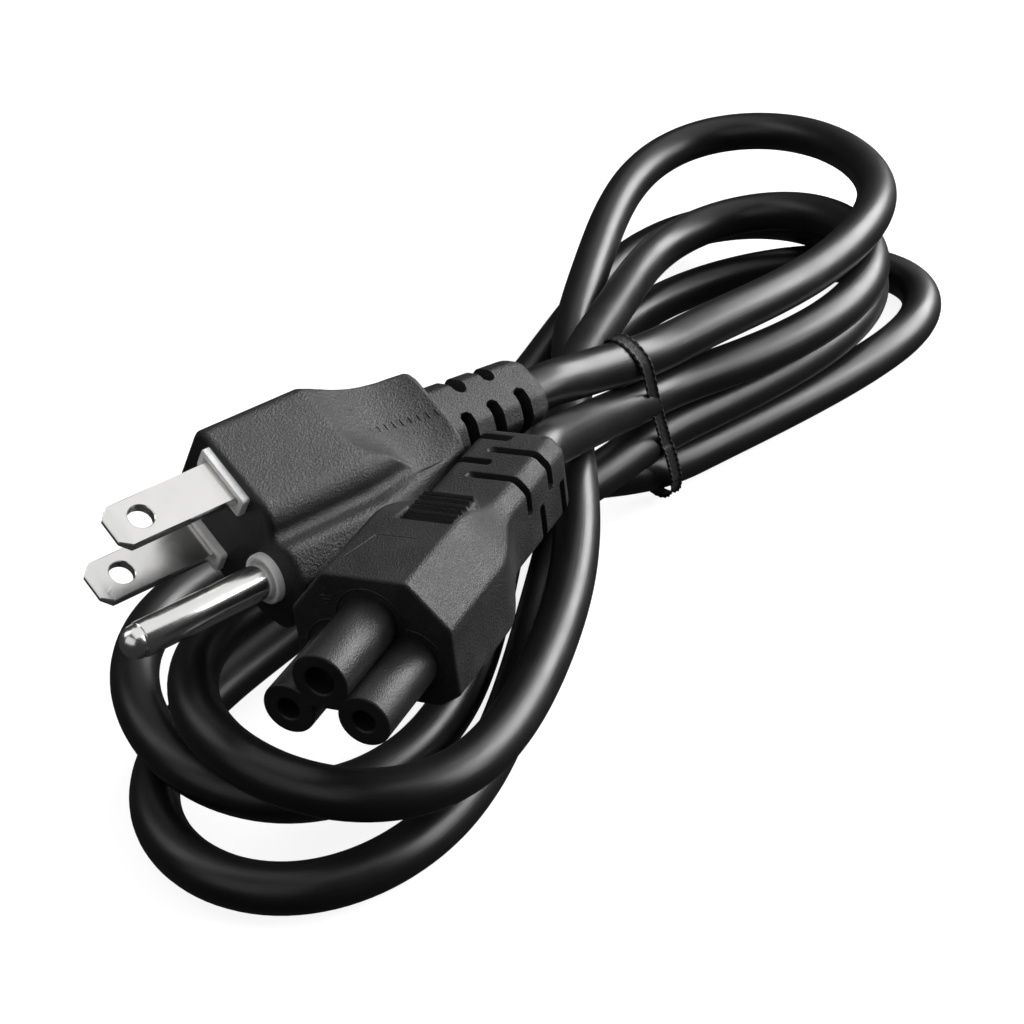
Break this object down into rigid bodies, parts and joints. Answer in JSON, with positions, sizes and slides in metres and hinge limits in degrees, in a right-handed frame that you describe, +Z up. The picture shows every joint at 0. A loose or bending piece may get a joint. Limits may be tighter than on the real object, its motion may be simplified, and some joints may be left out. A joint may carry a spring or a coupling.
{
  "type": "cloverleaf power cord",
  "caption": "Black mains lead wound into a flat hank and tied, with a moulded three-prong plug and a three-hole cloverleaf connector.",
  "frame": {"origin": "on the floor under the middle of the whole lead as it lies", "axes": "+Z up, Y along the hank; the plug and the connector lie at the -Y end and point roughly along -Y"},
  "size_m": [0.0916, 0.2012, 0.049],
  "materials": {
    "moulding_black": "finely grained soft black PVC moulding",
    "nose_black": "hard black plastic with a fine matt grain",
    "jacket_black": "satin black PVC jacket",
    "tie_black": "ribbed matt black tie",
    "insert_white": "plain white hard plastic",
    "prong_nickel": "nickel-plated brass, lightly brushed",
    "contact_metal": "tinned brass"
  },
  "bodies": {
    "root": {"plug_body": "moulding_black", "prong_insert": "insert_white", "line_blade": "prong_nickel", "neutral_blade": "prong_nickel", "ground_pin": "prong_nickel", "connector_body": "moulding_black", "connector_nose": "nose_black", "earth_contact": "contact_metal", "line_contact": "contact_metal", "neutral_contact": "contact_metal", "cord": "jacket_black", "twist_tie": "tie_black"}
  },
  "joints": []
}
